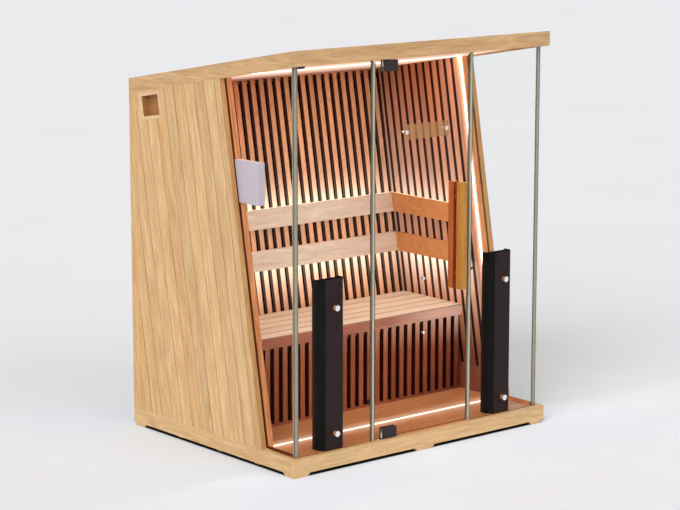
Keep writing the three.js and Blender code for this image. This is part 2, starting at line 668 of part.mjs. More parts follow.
// A loop along the left, back and right walls between two levels and two distances from the slats
function backrestLoop(bottom, top, [near, far], frontEnd) {
  const offset = (distance) => distance / Math.cos(LEAN);
  const back = [
    [backFaceY(bottom) - offset(far), bottom], [backFaceY(bottom) - offset(near), bottom],
    [backFaceY(top) - offset(near), top], [backFaceY(top) - offset(far), top],
  ];
  const wing = [
    [edgeY(bottom) + frontEnd, bottom], [backFaceY(bottom) - offset((near + far) / 2), bottom],
    [backFaceY(top) - offset((near + far) / 2), top], [edgeY(top) + frontEnd, top],
  ];
  return join(
    prism('x', back, -INNER_HALF + near, INNER_HALF - near),
    prism('x', wing, -INNER_HALF + near, -INNER_HALF + far),
    prism('x', wing, INNER_HALF - far, INNER_HALF - near),
  );
}

function addFloorLight() {
  const strip = edgeY(BASE_HEIGHT) + PORTAL_BEHIND;
  const light = box(
    -INNER_HALF, INNER_HALF, strip + FIT, strip + STRIP_WIDTH - FIT,
    BASE_HEIGHT - STRIP_DEPTH + FIT, BASE_HEIGHT,
  );
  addPiece('led_floor', light, 'light');
}

// Glass: two side panes let into the leaning walls, two front panes and their seals
function addGlass() {
  const paneTop = ceilingZ(GLASS_INNER) - GLASS_HEAD_PLAY;
  const sealTop = ceilingZ(GLASS_INNER + CORNER_SEAL_LEG) - SEAL_HEAD_PLAY;
  const sideFront = GLASS_INNER + GLASS_CORNER_GAP;
  const sideRear = GLASS_POCKET - GLASS_POCKET_PLAY;
  const sideOutline = [
    [sideFront, BASE_HEIGHT], [edgeY(BASE_HEIGHT) + sideRear, BASE_HEIGHT],
    leanTop(sideRear, GLASS_HEAD_PLAY), [sideFront, ceilingZ(sideFront) - GLASS_HEAD_PLAY],
  ];
  for (const [side, sign] of Object.entries(SIDES)) {
    const outer = SIDE_GLASS_OUTER - FIT;
    const inner = LEAF_HALF + FIT;
    const span = [Math.min(sign * outer, sign * inner), Math.max(sign * outer, sign * inner)];
    addPiece(`glass_${side}_side`, prism('x', sideOutline, ...span), 'clear_glass');

    const studHoles = STUD_HEIGHTS.map((z) => circle(sign * HEATER_CENTRE, z, STUD_RADIUS + STUD_PLAY));
    const pane = rectangle(sign * outer, sign * PANE_EDGE, BASE_HEIGHT, paneTop);
    const front = pierced('y', pane, GLASS_OUTER, GLASS_INNER, studHoles);
    addPiece(`glass_front_${side}`, front, 'clear_glass');

    const leg = CORNER_SEAL_LEG;
    const wall = CORNER_SEAL_WALL;
    const corner = [
      [outer, GLASS_INNER + FIT], [LEAF_HALF - leg, GLASS_INNER + FIT], [LEAF_HALF - leg, GLASS_INNER + wall],
      [LEAF_HALF - wall, GLASS_INNER + wall], [LEAF_HALF - wall, GLASS_INNER + leg],
      [LEAF_HALF, GLASS_INNER + leg], [LEAF_HALF, sideFront - FIT], [outer, sideFront - FIT],
    ].map(([x, y]) => [sign * x, y]);
    addPiece(`corner_seal_${side}`, prism('z', corner, BASE_HEIGHT, sealTop), 'seal');

    const sealFace = GLASS_OUTER - SEAL_WALL;
    const sealBack = GLASS_INNER + SEAL_WALL;
    const joint = [
      [PANE_EDGE - SEAL_LIP, sealFace], [PANE_EDGE + SEAL_COVER, sealFace],
      [PANE_EDGE + SEAL_COVER, GLASS_OUTER - FIT], [PANE_EDGE - FIT, GLASS_OUTER - FIT],
      [PANE_EDGE - FIT, GLASS_INNER + FIT], [PANE_EDGE + SEAL_COVER, GLASS_INNER + FIT],
      [PANE_EDGE + SEAL_COVER, sealBack], [PANE_EDGE - SEAL_LIP, sealBack],
    ].map(([x, y]) => [sign * x, y]);
    addPiece(`joint_seal_${side}`, prism('z', joint, BASE_HEIGHT, sealTop), 'seal');
  }
}

// Door: one pane between two patch fittings that turn on pins fixed to the floor and the ceiling
function addDoor() {
  const patchLeft = PIVOT_X - PATCH_OVERHANG;
  const patchRight = patchLeft + PATCH_WIDTH;
  const floorTop = BASE_HEIGHT + PIVOT_PLATE[2];
  const ceilingBottom = ceilingZ(GLASS_MIDDLE) - PATCH_HEAD_GAP;
  const patchBottom = floorTop + PIVOT_PLAY;
  const patchTop = ceilingBottom - PIVOT_PLAY;
  const paneBottom = BASE_HEIGHT + DOOR_BOTTOM_GAP;
  const paneTop = ceilingZ(GLASS_MIDDLE) - DOOR_HEAD_GAP;
  const lowerSlot = patchBottom + PATCH_HEIGHT - PATCH_SLOT;
  const upperSlot = patchTop - PATCH_HEIGHT + PATCH_SLOT;
  const notchLeft = patchLeft - PATCH_NOTCH_PLAY;
  const notchRight = patchRight + PATCH_NOTCH_PLAY;
  const pane = [
    [-DOOR_HALF, paneBottom], [notchLeft, paneBottom], [notchLeft, lowerSlot + FIT],
    [notchRight, lowerSlot + FIT], [notchRight, paneBottom], [DOOR_HALF, paneBottom],
    [DOOR_HALF, paneTop], [notchRight, paneTop], [notchRight, upperSlot - FIT],
    [notchLeft, upperSlot - FIT], [notchLeft, paneTop], [-DOOR_HALF, paneTop],
  ];
  addPiece('door_glass', prism('y', pane, GLASS_OUTER, GLASS_INNER), 'clear_glass', door);

  const pinPlace = [PIVOT_X, GLASS_MIDDLE];
  const bore = circle(...pinPlace, PIN_RADIUS + PIN_PLAY);
  const pin = circle(...pinPlace, PIN_RADIUS);
  const lowerSection = patchSection(patchBottom, lowerSlot, patchBottom + PATCH_HEIGHT);
  const lowerPatch = prism('x', lowerSection, patchLeft, patchRight);
  const lowerBore = prism('z', bore, patchBottom - FIT, floorTop + PIN_LENGTH + FIT);
  addPiece('door_patch_bottom', cut(lowerPatch, lowerBore), 'black_metal', door);
  const upperSection = patchSection(patchTop, upperSlot, patchTop - PATCH_HEIGHT);
  const upperPatch = prism('x', upperSection, patchLeft, patchRight);
  const upperBore = prism('z', bore, ceilingBottom - PIN_LENGTH - FIT, patchTop + FIT);
  addPiece('door_patch_top', cut(upperPatch, upperBore), 'black_metal', door);

  const [plateWidth, plateDepth] = PIVOT_PLATE;
  const plateX = [PIVOT_X - plateWidth / 2, PIVOT_X + plateWidth / 2];
  const plateY = [GLASS_MIDDLE - plateDepth / 2, GLASS_MIDDLE + plateDepth / 2];
  const lowerPlate = box(...plateX, ...plateY, BASE_HEIGHT, floorTop);
  const lowerPin = prism('z', pin, BASE_HEIGHT + FIT, floorTop + PIN_LENGTH);
  addPiece('pivot_bottom', join(lowerPlate, lowerPin), 'black_metal');
  const wedge = [
    [plateY[0], ceilingBottom], [plateY[1], ceilingBottom],
    [plateY[1], ceilingZ(plateY[1]) - FIT], [plateY[0], ceilingZ(plateY[0]) - FIT],
  ];
  const upperPin = prism('z', pin, ceilingBottom - PIN_LENGTH, ceilingBottom + FIT);
  addPiece('pivot_top', join(prism('x', wedge, ...plateX), upperPin), 'black_metal');
}

// A patch fitting's section as [y, z]: a block from its end to the slot, then two cheeks beside the glass
function patchSection(end, slot, open) {
  const front = GLASS_OUTER - PATCH_CHEEK;
  const rear = GLASS_INNER + PATCH_CHEEK;
  return [
    [front, end], [rear, end], [rear, open], [GLASS_INNER + FIT, open],
    [GLASS_INNER + FIT, slot], [GLASS_OUTER - FIT, slot], [GLASS_OUTER - FIT, open], [front, open],
  ];
}

// Door furniture: a bar handle on each face and a bare plaque on two standoffs
function addDoorFurniture() {
  const [barWidth, barDepth, barLength] = HANDLE_BAR;
  const [centreX, centreZ] = HANDLE_CENTRE;
  const low = centreZ - barLength / 2;
  const high = centreZ + barLength / 2;
  const barX = [centreX - barWidth / 2, centreX + barWidth / 2];
  const bosses = [low + HANDLE_BOSS_INSET, high - HANDLE_BOSS_INSET];
  const outerBar = box(...barX, HANDLE_FRONT, HANDLE_FRONT + barDepth, low, high);
  const innerFace = GLASS_INNER + HANDLE_GAP;
  const innerBar = box(...barX, innerFace, innerFace + barDepth, low, high);
  const boss = (z, from, to) => prism('y', circle(centreX, z, HANDLE_BOSS_RADIUS), from, to);
  const outerBosses = bosses.map((z) => boss(z, HANDLE_FRONT + barDepth - FIT, GLASS_OUTER - FIT));
  const innerBosses = bosses.map((z) => boss(z, GLASS_INNER + FIT, innerFace + FIT));
  addPiece('handle_outer', join(outerBar, ...outerBosses), 'honey_wood', door);
  addPiece('handle_inner', join(innerBar, ...innerBosses), 'honey_wood', door);

  const [plaqueWidth, plaqueThickness, plaqueHeight] = PLAQUE;
  const plateRear = GLASS_OUTER - PLAQUE_STANDOFF;
  const plateFront = plateRear - plaqueThickness;
  const pieces = [box(
    -plaqueWidth / 2, plaqueWidth / 2, plateFront, plateRear,
    PLAQUE_HEIGHT - plaqueHeight / 2, PLAQUE_HEIGHT + plaqueHeight / 2,
  )];
  for (const sign of Object.values(SIDES)) {
    const x = sign * (plaqueWidth / 2 - PLAQUE_STANDOFF_INSET);
    const barrel = circle(x, PLAQUE_HEIGHT, PLAQUE_STANDOFF_RADIUS);
    const cap = circle(x, PLAQUE_HEIGHT, PLAQUE_CAP_RADIUS);
    pieces.push(prism('y', barrel, plateRear - FIT, GLASS_OUTER - FIT));
    pieces.push(prism('y', cap, plateFront - PLAQUE_CAP, plateFront + FIT));
  }
  addPiece('plaque', join(...pieces), 'smoked_acrylic', door);
}

// Front heaters: a folded cover, an emitter in its open back and a rail with two studs through the glass
function addFrontHeaters() {
  const front = GLASS_INNER + FIT;
  const halfFlat = HEATER_FLAT / 2;
  const halfWide = halfFlat + HEATER_CHAMFER;
  const shoulder = front + HEATER_CHAMFER;
  const rear = shoulder + HEATER_SIDE;
  const sheet = HEATER_SHEET;
  const slant = sheet * Math.tan(Math.PI / 8);
  const half = [
    [halfFlat, front], [halfWide, shoulder], [halfWide, rear], [halfWide - sheet, rear],
    [halfWide - sheet, shoulder + slant], [halfFlat - slant, front + sheet],
  ];
  const mirrored = half.map(([x, y]) => [-x, y]).reverse();
  for (const [side, sign] of Object.entries(SIDES)) {
    const centre = sign * HEATER_CENTRE;
    const section = [...half, ...mirrored].map(([x, y]) => [centre + x, y]);
    const cover = prism('z', section, BASE_HEIGHT, HEATER_TOP);
    const holes = STUD_HEIGHTS.map((z) => prism(
      'y', circle(centre, z, STUD_RADIUS + STUD_PLAY), front - FIT, front + sheet + FIT,
    ));
    addPiece(`heater_cover_${side}`, cut(cover, ...holes), 'black_metal');

    const emitterHalf = halfWide - sheet - FIT;
    const emitterRear = rear - EMITTER_INSET;
    const emitter = box(
      centre - emitterHalf, centre + emitterHalf, emitterRear - EMITTER_THICKNESS, emitterRear,
      BASE_HEIGHT, HEATER_TOP - EMITTER_INSET,
    );
    addPiece(`heater_emitter_${side}`, emitter, 'heater_film');

    const railFront = front + sheet + FIT;
    const pieces = [box(
      centre - RAIL_WIDTH / 2, centre + RAIL_WIDTH / 2, railFront, railFront + RAIL_THICKNESS,
      STUD_HEIGHTS[0] - RAIL_OVERRUN, STUD_HEIGHTS[1] + RAIL_OVERRUN,
    )];
    const collarFront = GLASS_OUTER - COLLAR_LENGTH;
    for (const z of STUD_HEIGHTS) {
      pieces.push(prism('y', circle(centre, z, STUD_RADIUS), collarFront, railFront + FIT));
      pieces.push(prism('y', circle(centre, z, COLLAR_RADIUS), collarFront, GLASS_OUTER - FIT));
      pieces.push(prism('y', circle(centre, z, CAP_RADIUS), collarFront - CAP_LENGTH, collarFront + FIT));
    }
    addPiece(`heater_mount_${side}`, join(...pieces), 'copper');
  }
}

// Control unit on the left post beside the glass, and the power unit in the space behind the back wall
function addElectrics() {
  const [low, high] = CONTROL_HEIGHTS;
  const front = edgeY(low) - CONTROL_REACH;
  const unit = [[front, low], [edgeY(low) - FIT, low], [edgeY(high) - FIT, high], [front, high]];
  addPiece('control_box', prism('x', unit, -LEAF_HALF, -INNER_HALF), 'grey_plastic');
  const border = SCREEN_BORDER;
  const screen = [
    [front + border, low + border], [edgeY(low + border) - border, low + border],
    [edgeY(high - border) - border, high - border], [front + border, high - border],
  ];
  addPiece('control_screen', prism('x', screen, -INNER_HALF, -INNER_HALF + SCREEN_THICKNESS), 'dark_glass');

  const wallFace = HALF_DEPTH - REAR_WALL_THICKNESS;
  const body = box(
    POWER_PLACE - POWER_WIDTH / 2, POWER_PLACE + POWER_WIDTH / 2, wallFace - FIT - POWER_DEPTH, wallFace - FIT,
    BASE_HEIGHT, BASE_HEIGHT + POWER_HEIGHT,
  );
  const inlet = circle(POWER_PLACE, BASE_HEIGHT + INLET_HEIGHT, INLET_RADIUS);
  addPiece('power_unit', join(body, prism('y', inlet, wallFace - 2 * FIT, HALF_DEPTH)), 'black_metal');
}

addBase();
addRoof();
addOuterWalls();
addSideLining();
addBackLining();
addBench();
addBackrests();
addFloorLight();
addGlass();
addDoor();
addDoorFurniture();
addFrontHeaters();
addElectrics();

export default sauna;
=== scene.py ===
"""Looks of the infrared sauna cabin: woods, glass, light lines, small fittings, camera and studio light."""

import math

import bmesh
import bpy
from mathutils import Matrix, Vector


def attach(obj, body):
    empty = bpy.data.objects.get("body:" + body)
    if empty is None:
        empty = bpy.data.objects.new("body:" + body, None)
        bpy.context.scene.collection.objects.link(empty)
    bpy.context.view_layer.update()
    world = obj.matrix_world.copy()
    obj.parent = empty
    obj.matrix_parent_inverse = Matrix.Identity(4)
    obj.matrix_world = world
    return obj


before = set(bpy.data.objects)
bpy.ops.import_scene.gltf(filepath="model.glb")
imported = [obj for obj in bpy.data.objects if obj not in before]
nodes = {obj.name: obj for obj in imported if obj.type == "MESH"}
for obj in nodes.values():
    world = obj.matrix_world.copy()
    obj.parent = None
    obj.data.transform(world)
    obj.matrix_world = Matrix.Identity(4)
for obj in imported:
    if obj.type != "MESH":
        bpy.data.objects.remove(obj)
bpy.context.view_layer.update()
scene = bpy.context.scene

# The cabin's own numbers, in metres, as its solids have them
SHIFT = 0.008
SLOPE = math.tan(math.radians(10))
HALF_WIDTH = 0.825
HALF_DEPTH = 0.660
EDGE_AT_GROUND = -0.424 + SHIFT
REAR_STILE = 0.598 + SHIFT
GLASS_OUTER = -0.631 + SHIFT
GLASS_INNER = -0.623 + SHIFT
DOOR_HALF = 0.312
DOOR_BOTTOM = 0.098
DOOR_TOP = 1.937
JOINT_CENTRE = 0.315
CORNER_CENTRE = 0.783
LINING_FACE = 0.750
SLAT_THICKNESS = 0.020
SIDE_PITCH = 0.0575
SIDE_GAP = 0.021
SIDE_GAP_MIDDLE = 0.0885
SIDE_GAPS = 10
SIDE_GAP_BOTTOM = 0.230
SIDE_GAP_TOP = 1.740
BACK_PITCH = 0.055
BENCH_TOP = 0.545
BENCH_FRONT = -0.1098 + SHIFT
WING_INNER = 0.7275
UPPER_REST_TOP = 1.078
UPPER_REST_BOTTOM = 0.978
LOWER_REST_TOP = 0.867
LOWER_REST_BOTTOM = 0.767
HEATER_LIP = GLASS_INNER + 0.048
STUD_CAP = -0.6465 + SHIFT
FLOOR_STRIP = -0.390 + SHIFT
POST_STRIP = EDGE_AT_GROUND + 0.018
CEILING_STRIP = -0.078 + SHIFT
FASCIA_INNER = 0.7995
POST_OUTER = 0.7815
PLAQUE_CAPS = [(-0.129, 1.59), (0.129, 1.59)]
PLAQUE_CAP_RADIUS = 0.0106

# Boards that differ in tone: their pitches, and where the first joint is
OUTER_BOARD_PITCH = 0.086
FIRST_OUTER_JOINT = EDGE_AT_GROUND + 0.044
REAR_HALF = 0.788
REAR_BOARDS = 16
ROOF_BOARD_PITCH = 0.22
CEILING_BOARD_PITCH = 0.09
BENCH_BOARD_PITCH = 0.093
DECK_BOARD_PITCH = 0.105
DECK_REAR = 0.643

# Grain of the woods: how far it is stretched along the board, and the scale of each noise
GRAIN_STRETCH = 0.035
FIGURE_STRETCH = 0.11
STREAK_SCALE = 170.0
CLOUD_SCALE = 26.0
PORE_SCALE = 900.0
BOARD_JUMP = 23.0

# Fittings on the glass, and the play between them and the pane
KNOB_HEIGHTS = (0.589, 0.860)
KNOB_STEM = 0.012
FIT = 0.0002

# Camera and light
CAMERA_PLACE = (-7.2954, -8.7556 + SHIFT, 3.0252)
CAMERA_PITCH = 10.647
CAMERA_YAW = 39.819
CAMERA_LENS = 120.47
BACKDROP = (0.83, 0.83, 0.845)
# Painted light: a cooler tint on the floor near the cabin, against the warm light bounced from the wood
FLOOR_BOUNCE_COOLING = (0.97, 1.04, 1.10)
# Painted shadow: the floor under the cabin
FLOOR_SHADOW_UNDER = (0.02, 0.02, 0.02)
SKY_STRENGTH = 0.72
FLOOR_STRENGTH = 2.0
POST_STRENGTH = 5.0
CEILING_STRENGTH = 90.0
BACKREST_STRENGTH = 0.75

# Painted light on the walls from behind the backrests: above them, below them, and what spreads further
WALL_ABOVE, WALL_BELOW, WALL_SPREAD = 0.90, 1.00, 0.31
SIDE_ABOVE, SIDE_BELOW, SIDE_SPREAD = 0.60, 1.25, 0.44
BETWEEN_LEVEL = 0.20
NEAR_UP, NEAR_DOWN, NEAR_POWER = 0.20, 0.27, 2.2
SPREAD_UP, SPREAD_DOWN, SPREAD_POWER = 0.80, 0.40, 1.6


# Shader building

class Shader:
    """A material's node tree, with short calls that take sockets, numbers or colours."""

    def __init__(self, name):
        self.material = bpy.data.materials.new(name)
        self.material.use_nodes = True
        self.tree = self.material.node_tree
        self.surface = self.tree.nodes["Principled BSDF"]
        self.output = self.tree.nodes["Material Output"]

    def add(self, kind, inputs=None, **settings):
        node = self.tree.nodes.new(kind)
        for key, value in settings.items():
            setattr(node, key, value)
        for key, value in (inputs or {}).items():
            self.feed(node.inputs[key], value)
        return node

    def feed(self, socket, value):
        if isinstance(value, bpy.types.NodeSocket):
            self.tree.links.new(value, socket)
        elif isinstance(value, tuple) and len(value) == 3 and socket.type == "RGBA":
            socket.default_value = (*value, 1.0)
        else:
            socket.default_value = value

    def set(self, **values):
        for key, value in values.items():
            self.feed(self.surface.inputs[key.replace("_", " ")], value)

    def math(self, operation, first, second=0.0):
        return self.add("ShaderNodeMath", {0: first, 1: second}, operation=operation).outputs[0]

    def place(self):
        coords = self.add("ShaderNodeTexCoord").outputs["Object"]
        split = self.add("ShaderNodeSeparateXYZ", {0: coords})
        return split.outputs[0], split.outputs[1], split.outputs[2]

    def normal(self):
        turned = self.add("ShaderNodeTexCoord").outputs["Normal"]
        split = self.add("ShaderNodeSeparateXYZ", {0: turned})
        return split.outputs[0], split.outputs[1], split.outputs[2]

    def vector(self, x, y, z):
        return self.add("ShaderNodeCombineXYZ", {0: x, 1: y, 2: z}).outputs[0]

    def noise(self, vector, scale, detail=3.0, roughness=0.55, distortion=0.0):
        inputs = {"Vector": vector, "Scale": scale, "Detail": detail}
        inputs.update({"Roughness": roughness, "Distortion": distortion})
        return self.add("ShaderNodeTexNoise", inputs).outputs["Fac"]

    def ramp(self, value, low, high, start=0.0, end=1.0):
        inputs = {"Value": value, "From Min": low, "From Max": high, "To Min": start, "To Max": end}
        return self.add("ShaderNodeMapRange", inputs).outputs[0]

    def blend(self, factor, first, second, mode="MIX"):
        node = self.add("ShaderNodeMix", data_type="RGBA", blend_type=mode)
        self.feed(node.inputs[0], factor)
        self.feed(node.inputs[6], first)
        self.feed(node.inputs[7], second)
        return node.outputs[2]

    def bump(self, height, strength, distance):
        inputs = {"Height": height, "Strength": strength, "Distance": distance}
        self.feed(self.surface.inputs["Normal"], self.add("ShaderNodeBump", inputs).outputs[0])


# Painted light: a glow in the wood beside a light strip, by distance from the strip

def fade(shader, distance, near, far, level, power):
    closeness = shader.ramp(distance, near, far, 1.0, 0.0)
    return shader.math("MULTIPLY", shader.math("POWER", closeness, power), level)


def rest_glow(shader, z, above, below, spread, share):
    """Light on a wall above and below the backrests: a share of the near light, plus what spreads on."""
    over_lower = shader.math("GREATER_THAN", z, LOWER_REST_TOP)
    between = shader.math("MULTIPLY", over_lower, shader.math("LESS_THAN", z, UPPER_REST_BOTTOM))
    higher = shader.math("SUBTRACT", z, UPPER_REST_TOP)
    lower = shader.math("SUBTRACT", LOWER_REST_BOTTOM, z)
    near = 0.0
    for distance, far, level in ((higher, NEAR_UP, above), (lower, NEAR_DOWN, below)):
        beyond = shader.math("GREATER_THAN", distance, -0.02)
        lit = shader.math("MULTIPLY", fade(shader, distance, 0.015, far, level, NEAR_POWER), beyond)
        near = shader.math("ADD", lit, near)
    strength = shader.math("MULTIPLY", near, share)
    strength = shader.math("ADD", strength, shader.math("MULTIPLY", between, BETWEEN_LEVEL))
    for distance, far in ((higher, SPREAD_UP), (lower, SPREAD_DOWN)):
        beyond = shader.math("GREATER_THAN", distance, 0.0)
        lit = shader.math("MULTIPLY", fade(shader, distance, 0.0, far, spread, SPREAD_POWER), beyond)
        strength = shader.math("ADD", strength, lit)
    return strength


def wall_light(shader, x, y, z):
    from_corner = shader.ramp(x, 0.50, 0.72, 1.0, 0.45)
    return rest_glow(shader, z, WALL_ABOVE, WALL_BELOW, WALL_SPREAD, from_corner)


def side_light(shader, x, y, z):
    behind = shader.math("SUBTRACT", y, shader.math("MULTIPLY", z, SLOPE))
    reach = shader.ramp(behind, EDGE_AT_GROUND + 0.05, EDGE_AT_GROUND + 0.16)
    from_corner = shader.ramp(behind, EDGE_AT_GROUND + 0.56, EDGE_AT_GROUND + 0.66, 1.0, 0.25)
    from_rests = rest_glow(shader, z, SIDE_ABOVE, SIDE_BELOW, SIDE_SPREAD, from_corner)
    from_rests = shader.math("MULTIPLY", from_rests, reach)
    from_post = fade(shader, shader.math("SUBTRACT", behind, POST_STRIP), 0.02, 0.30, 0.26, 1.6)
    return shader.math("ADD", from_rests, from_post)


def post_light(shader, x, y, z):
    behind = shader.math("SUBTRACT", y, shader.math("MULTIPLY", z, SLOPE))
    distance = shader.math("ABSOLUTE", shader.math("SUBTRACT", behind, POST_STRIP))
    inward = shader.math("LESS_THAN", shader.math("MULTIPLY", shader.normal()[0], x), -0.3)
    return shader.math("MULTIPLY", fade(shader, distance, 0.004, 0.05, 0.9, 1.6), inward)


def bench_light(shader, x, y, z):
    on_top = shader.ramp(x, 0.1, 0.6, 0.03, 0.09)
    rail_end = shader.ramp(x, 0.25, 0.55, 0.0, 0.38)
    on_rail = shader.math("ADD", shader.ramp(x, -0.9, 0.25, 0.03, 0.13), rail_end)
    more = shader.math("SUBTRACT", on_rail, on_top)
    return shader.math("ADD", on_top, shader.math("MULTIPLY", more, below_bench_top(shader, x, y, z)))


def kick_light(shader, x, y, z):
    down = fade(shader, shader.math("SUBTRACT", BENCH_TOP - 0.045, z), 0.0, 0.16, 1.0, 1.3)
    return shader.math("MULTIPLY", down, shader.ramp(x, 0.0, 0.75, 0.06, 0.55))


def floor_light(shader, x, y, z):
    distance = shader.math("ABSOLUTE", shader.math("SUBTRACT", y, FLOOR_STRIP))
    return fade(shader, distance, 0.006, 0.13, 0.6, 3.0)


def ceiling_light(shader, x, y, z):
    distance = shader.math("ABSOLUTE", shader.math("SUBTRACT", y, CEILING_STRIP))
    return fade(shader, distance, 0.006, 0.70, 1.5, 1.2)


# Parts of a piece: most take painted shade, a few painted light; the backrests' wings differ in tone

# The bench's front below its top, which gets painted shade and more of the painted glow
def below_bench_top(shader, x, y, z):
    return shader.math("LESS_THAN", z, BENCH_TOP - 0.005)


def on_side_wings(shader, x, y, z):
    return shader.math("GREATER_THAN", shader.math("ABSOLUTE", x), WING_INNER)


# Painted light: faces turned to -x, tinted as a side lit from the left
def lit_left_faces(shader, x, y, z):
    return shader.ramp(shader.normal()[0], -0.3, -0.7)


# Painted shade: faces turned to the front, darker as if out of the light
def shaded_front_faces(shader, x, y, z):
    return shader.ramp(shader.normal()[1], -0.3, -0.7)


# Painted shade: the post's strip beside the wall, dark as the shadow between post and wall
def shade_beside_wall(shader, x, y, z):
    return shader.math("GREATER_THAN", shader.math("ABSOLUTE", x), POST_OUTER)


# Painted shade: the heater covers' sideways folds and flanks near black, less so behind the lip
def heater_fold_shade(shader, x, y, z):
    folded = shader.ramp(shader.math("ABSOLUTE", shader.normal()[0]), 0.3, 0.6)
    return shader.math("MULTIPLY", folded, shader.ramp(y, HEATER_LIP - 0.002, HEATER_LIP + 0.002, 1.0, 0.45))


# Painted highlight: the fittings' left end faces beside the glass, pale as if catching light
def painted_highlight_edge(shader, x, y, z):
    off_glass = shader.math("ABSOLUTE", shader.math("SUBTRACT", y, (GLASS_OUTER + GLASS_INNER) / 2))
    return shader.math("MULTIPLY", lit_left_faces(shader, x, y, z), shader.math("LESS_THAN", off_glass, 0.0055))


# Painted shade: the slats' side faces, turned along x, darker as if in the shadow of the gaps
def shaded_slat_sides(shader, x, y, z):
    return shader.ramp(shader.math("ABSOLUTE", shader.normal()[0]), 0.3, 0.7)


# Painted shade: the side-wall slats' side faces, turned away from x, darker as if in the shadow of the gaps
def shaded_side_slat_sides(shader, x, y, z):
    return shader.ramp(shader.math("ABSOLUTE", shader.normal()[0]), 0.7, 0.3)


# Painted shade: the back wall darker towards its upper left
def shade_far_top(shader, x, y, z):
    return shader.math("MULTIPLY", shader.ramp(x, 0.10, -0.60), shader.ramp(z, 1.10, 1.60))


# Painted shade: the side walls darker low down, near the floor
def shade_near_floor(shader, x, y, z):
    return shader.ramp(z, 0.52, 0.30)


def dim_corner(shader, x, y, z):
    return shader.math("MULTIPLY", shader.ramp(x, 0.1, 0.7), shader.ramp(z, 0.42, 0.18))


def grain_axes(shader, grain, x, y, z):
    """The coordinates across the grain, the other way across it and along it."""
    if grain == "lean":
        return shader.math("SUBTRACT", y, shader.math("MULTIPLY", z, SLOPE)), x, z
    if grain == "frame":
        off_front = shader.math("GREATER_THAN", y, -HALF_DEPTH + SHIFT + 0.001)
        outward = shader.math("GREATER_THAN", shader.math("ABSOLUTE", x), FASCIA_INNER)
        side = shader.math("MULTIPLY", off_front, outward)
        swap_over = shader.math("MULTIPLY", side, shader.math("SUBTRACT", y, x))
        return z, shader.math("SUBTRACT", y, swap_over), shader.math("ADD", x, swap_over)
    return {"x": (y, z, x), "y": (x, z, y), "z": (x, y, z)}[grain]


def wood(
    name, pale, dark, grain, pitch=None, offset=0.0, tone=0.12, gloss=0.5, figure=0.55,
    warm=0.0, seam=0.0, seam_limit=None, parts=(), light=None, shine=0.5,
):
    """Straight-grained wood, along x, y, z, the lean or round a frame. Boards of a pitch differ in tone.

    A seam width darkens the joints between boards, and warm makes some boards redder. Light from a strip can
    be painted on the piece as a glow. Each of its parts has a mask, a tint and the share of that glow which
    it gets; most of these tints are painted shade, and on the handles painted light.
    """
    shader = Shader(name)
    x, y, z = shader.place()
    across, other, along = grain_axes(shader, grain, x, y, z)
    shade, joint, redness = 1.0, None, None
    if pitch:
        count = shader.math("DIVIDE", shader.math("SUBTRACT", across, offset), pitch)
        lot = shader.add("ShaderNodeTexWhiteNoise", {"W": shader.math("FLOOR", count)}, noise_dimensions="1D")
        chance = lot.outputs["Value"]
        along = shader.math("ADD", along, shader.math("MULTIPLY", chance, BOARD_JUMP))
        shade = shader.ramp(chance, 0.0, 1.0, 1.0 - tone, 1.0 + tone)
        redness = shader.ramp(shader.math("FRACT", shader.math("MULTIPLY", chance, 7.0)), 0.4, 1.0, 0.0, warm)
        if seam:
            off_joint = shader.math("ABSOLUTE", shader.math("SUBTRACT", count, shader.math("ROUND", count)))
            joint = shader.ramp(off_joint, 0.5 * seam / pitch, seam / pitch, 1.0, 0.0)
            if seam_limit:
                joint = shader.math("MULTIPLY", joint, shader.math("LESS_THAN", y, seam_limit))
    grain_vector = shader.vector(across, other, shader.math("MULTIPLY", along, GRAIN_STRETCH))
    figure_vector = shader.vector(across, other, shader.math("MULTIPLY", along, FIGURE_STRETCH))
    streak = shader.noise(grain_vector, STREAK_SCALE, detail=5.0, roughness=0.65)
    cloud = shader.noise(figure_vector, CLOUD_SCALE, detail=3.0, distortion=1.4)
    pores = shader.noise(grain_vector, PORE_SCALE, detail=2.0)
    lines = shader.math("MULTIPLY", streak, 1.0 - figure)
    mixed = shader.math("ADD", lines, shader.math("MULTIPLY", cloud, figure))
    colour = shader.blend(shader.ramp(mixed, 0.36, 0.64), pale, dark)
    level = shader.math("MULTIPLY", shader.ramp(pores, 0.30, 0.62, 0.82, 1.04), shade)
    colour = shader.blend(1.0, colour, shader.vector(level, level, level), mode="MULTIPLY")
    if warm:
        colour = shader.blend(redness, colour, WARM_TINT, mode="MULTIPLY")
    if joint:
        colour = shader.blend(joint, colour, SEAM_TINT, mode="MULTIPLY")
    strength = light(shader, x, y, z) if light else None
    for mask_of, tint, lit in parts:
        mask = mask_of(shader, x, y, z)
        colour = shader.blend(mask, colour, tint, mode="MULTIPLY")
        if light:
            strength = shader.math("MULTIPLY", strength, shader.ramp(mask, 0.0, 1.0, 1.0, lit))
    if light:
        shader.set(Emission_Color=shader.blend(LIT_SHARE, colour, LIT_TINT), Emission_Strength=strength)
    shader.set(Base_Color=colour, Specular_IOR_Level=shine)
    shader.set(Roughness=shader.ramp(streak, 0.2, 0.8, gloss - 0.08, gloss + 0.12))
    shader.bump(shader.math("ADD", streak, shader.math("MULTIPLY", pores, 0.5)), 0.18, 0.0006)
    return shader.material


